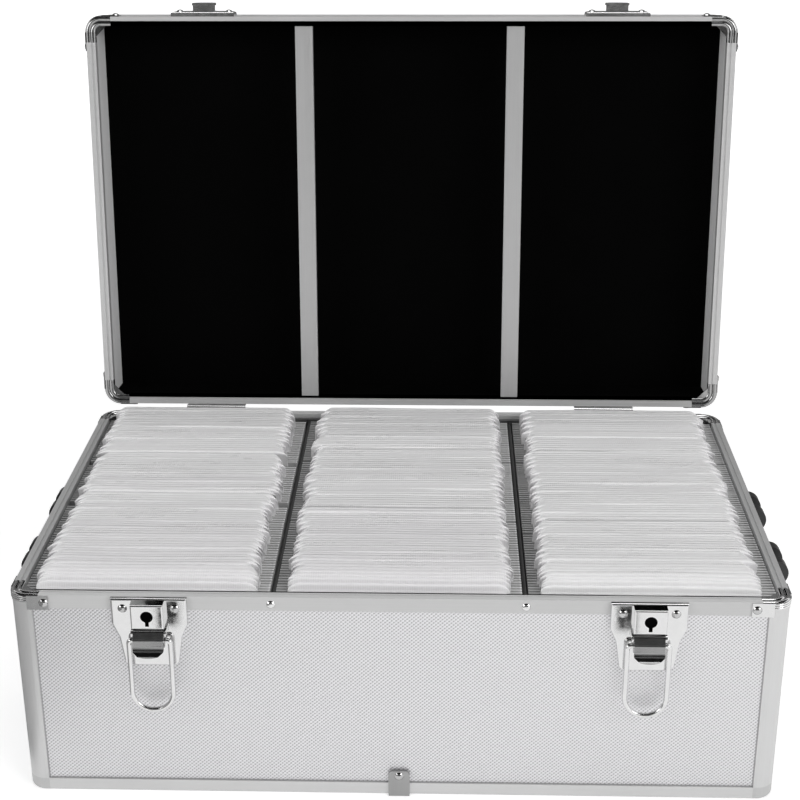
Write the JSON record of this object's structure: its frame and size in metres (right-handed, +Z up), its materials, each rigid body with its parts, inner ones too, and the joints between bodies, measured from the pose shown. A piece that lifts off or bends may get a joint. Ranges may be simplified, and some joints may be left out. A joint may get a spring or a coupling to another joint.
{
  "type": "disc storage case",
  "caption": "Framed box with a hinged lid, draw latches with locks, side handles and rows of hanging disc sleeves.",
  "frame": {"origin": "middle of the underside", "axes": "+X to the right along the front, +Y to the back, +Z up"},
  "size_m": [0.495, 0.3739, 0.4331],
  "materials": {
    "board_skin": "embossed with a fine diamond grain",
    "profile": "satin anodised",
    "chrome": "polished plate",
    "steel": "zinc plated",
    "black_plastic": "moulded",
    "dark_bracket": "moulded",
    "lining": "flock",
    "sleeve": "non-woven",
    "hanger": "moulded"
  },
  "bodies": {
    "case": {"back_panel": "board_skin", "bottom_corner_caps": "profile", "bottom_edge_clips": "profile", "bottom_edges": "profile", "bottom_panel": "board_skin", "box_rim_back": "profile", "box_rim_corners": "chrome", "box_rim_front": "profile", "box_rim_left": "profile", "box_rim_right": "profile", "box_rivets": "chrome", "corner_posts": "profile", "divider_rails": "dark_bracket", "front_panel": "board_skin", "handle_mounts": "black_plastic", "handle_pins": "steel", "hinge_box_leaves": "chrome", "hinge_pins": "steel", "latch_plate_left": "chrome", "latch_plate_right": "chrome", "left_panel": "board_skin", "lever_pins": "steel", "lock_case_left": "chrome", "lock_case_right": "chrome", "rail_brackets": "dark_bracket", "rail_screws": "chrome", "right_panel": "board_skin", "side_rails": "profile"},
    "lid": {"hinge_lid_leaves": "chrome", "latch_keepers": "chrome", "lid_back_panel": "board_skin", "lid_bars": "profile", "lid_corner_caps": "profile", "lid_corner_posts": "profile", "lid_front_panel": "board_skin", "lid_left_panel": "board_skin", "lid_lining": "lining", "lid_right_panel": "board_skin", "lid_rim_corners": "chrome", "lid_rims": "profile", "lid_rivets": "chrome", "lid_side_liners": "profile", "lid_top_edges": "profile", "lid_top_panel": "board_skin"},
    "handle_grip_left": {"handle_grip_left": "black_plastic"},
    "handle_grip_right": {"handle_grip_right": "black_plastic"},
    "latch_bail_left": {"latch_bail_left": "chrome"},
    "latch_bail_right": {"latch_bail_right": "chrome"},
    "latch_lever_left": {"latch_lever_left": "chrome"},
    "latch_lever_right": {"latch_lever_right": "chrome"},
    "lock_cam_left": {"lock_cam_left": "steel"},
    "lock_cam_right": {"lock_cam_right": "steel"},
    "sleeves_left": {"sleeve_hangers_left": "hanger", "sleeve_pouches_left": "sleeve"},
    "sleeves_middle": {"sleeve_hangers_middle": "hanger", "sleeve_pouches_middle": "sleeve"},
    "sleeves_right": {"sleeve_hangers_right": "hanger", "sleeve_pouches_right": "sleeve"}
  },
  "joints": [
    {"name": "lid_hinge", "type": "hinge", "parent": "case", "child": "lid", "pos_m": [0, 0.146, 0.138], "axis": [1, 0, 0], "range_deg": [0, 96]},
    {"name": "latch_lever_left_turn", "type": "hinge", "parent": "case", "child": "latch_lever_left", "pos_m": [-0.1465, -0.1491, 0.1168], "axis": [1, 0, 0], "range_deg": [-72, 0]},
    {"name": "latch_bail_left_swing", "type": "hinge", "parent": "latch_lever_left", "child": "latch_bail_left", "pos_m": [-0.1465, -0.1491, 0.112], "axis": [-1, 0, 0], "range_deg": [0, 181.7]},
    {"name": "lock_cam_left_turn", "type": "hinge", "parent": "case", "child": "lock_cam_left", "pos_m": [-0.1465, -0.1475, 0.1295], "axis": [0, 1, 0], "range_deg": [0, 90]},
    {"name": "handle_left_swing", "type": "hinge", "parent": "case", "child": "handle_grip_left", "pos_m": [-0.2385, 0, 0.108], "axis": [0, 1, 0], "range_deg": [0, 90]},
    {"name": "latch_lever_right_turn", "type": "hinge", "parent": "case", "child": "latch_lever_right", "pos_m": [0.1465, -0.1491, 0.1168], "axis": [1, 0, 0], "range_deg": [-72, 0]},
    {"name": "latch_bail_right_swing", "type": "hinge", "parent": "latch_lever_right", "child": "latch_bail_right", "pos_m": [0.1465, -0.1491, 0.112], "axis": [-1, 0, 0], "range_deg": [0, 181.7]},
    {"name": "lock_cam_right_turn", "type": "hinge", "parent": "case", "child": "lock_cam_right", "pos_m": [0.1465, -0.1475, 0.1295], "axis": [0, 1, 0], "range_deg": [0, 90]},
    {"name": "handle_right_swing", "type": "hinge", "parent": "case", "child": "handle_grip_right", "pos_m": [0.2385, 0, 0.108], "axis": [0, -1, 0], "range_deg": [0, 90]},
    {"name": "sleeves_left_slide", "type": "slide", "parent": "case", "child": "sleeves_left", "axis": [0, 1, 0], "range_m": [-0.0015, 0.004]},
    {"name": "sleeves_middle_slide", "type": "slide", "parent": "case", "child": "sleeves_middle", "axis": [0, 1, 0], "range_m": [-0.0015, 0.004]},
    {"name": "sleeves_right_slide", "type": "slide", "parent": "case", "child": "sleeves_right", "axis": [0, 1, 0], "range_m": [-0.0015, 0.004]}
  ]
}
